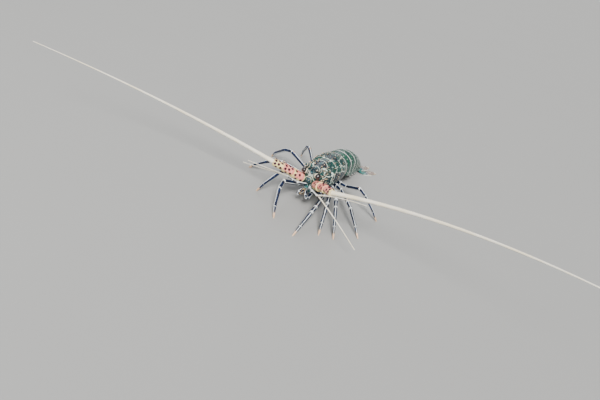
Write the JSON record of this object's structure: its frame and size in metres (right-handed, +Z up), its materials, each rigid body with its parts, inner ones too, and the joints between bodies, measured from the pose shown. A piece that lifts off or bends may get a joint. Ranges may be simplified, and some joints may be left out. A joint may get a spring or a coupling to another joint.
{
  "type": "spiny lobster",
  "caption": "Life-size still model of a painted spiny lobster, standing with its long antennae spread wide and its tail fan on the floor.",
  "frame": {"origin": "on the floor under the middle of the bounding box of the whole animal with its antennae", "axes": "+X towards the animal's left side, along the spread antennae; -Y the way that the head faces; +Z up"},
  "size_m": [0.8686, 0.2992, 0.132],
  "materials": {
    "shell": "satin dark green and blue-black shell with fine pale lines",
    "pink": "satin pink shell with cream edges and dark spine bases",
    "ivory": "semi-matte cream-white feelers",
    "leg": "satin blue-black with white stripes along the limb",
    "eye": "glossy black",
    "tail": "satin blue-green with pale rims and rays"
  },
  "bodies": {
    "root": {"abdomen_1": "shell", "abdomen_2": "shell", "abdomen_3": "shell", "abdomen_4": "shell", "abdomen_5": "shell", "abdomen_6": "shell", "antenna_left_1": "pink", "antenna_left_2": "pink", "antenna_left_3": "pink", "antenna_right_1": "pink", "antenna_right_2": "pink", "antenna_right_3": "pink", "antennular_plate": "shell", "antennule_left": "ivory", "antennule_left_inner": "ivory", "antennule_left_outer": "ivory", "antennule_right": "ivory", "antennule_right_inner": "ivory", "antennule_right_outer": "ivory", "carapace": "shell", "eye_left": "eye", "eye_right": "eye", "flagellum_left_middle": "ivory", "flagellum_left_root": "ivory", "flagellum_left_tip": "ivory", "flagellum_right_middle": "ivory", "flagellum_right_root": "ivory", "flagellum_right_tip": "ivory", "horn_left": "shell", "horn_right": "shell", "leg_left_1_lower": "leg", "leg_left_1_upper": "leg", "leg_left_2_lower": "leg", "leg_left_2_upper": "leg", "leg_left_3_lower": "leg", "leg_left_3_upper": "leg", "leg_left_4_lower": "leg", "leg_left_4_upper": "leg", "leg_left_5_lower": "leg", "leg_left_5_upper": "leg", "leg_right_1_lower": "leg", "leg_right_1_upper": "leg", "leg_right_2_lower": "leg", "leg_right_2_upper": "leg", "leg_right_3_lower": "leg", "leg_right_3_upper": "leg", "leg_right_4_lower": "leg", "leg_right_4_upper": "leg", "leg_right_5_lower": "leg", "leg_right_5_upper": "leg", "maxilliped_left": "leg", "maxilliped_right": "leg", "mouth": "shell", "sternum": "shell", "telson": "tail", "uropod_left_inner": "tail", "uropod_left_outer": "tail", "uropod_right_inner": "tail", "uropod_right_outer": "tail"}
  },
  "joints": []
}
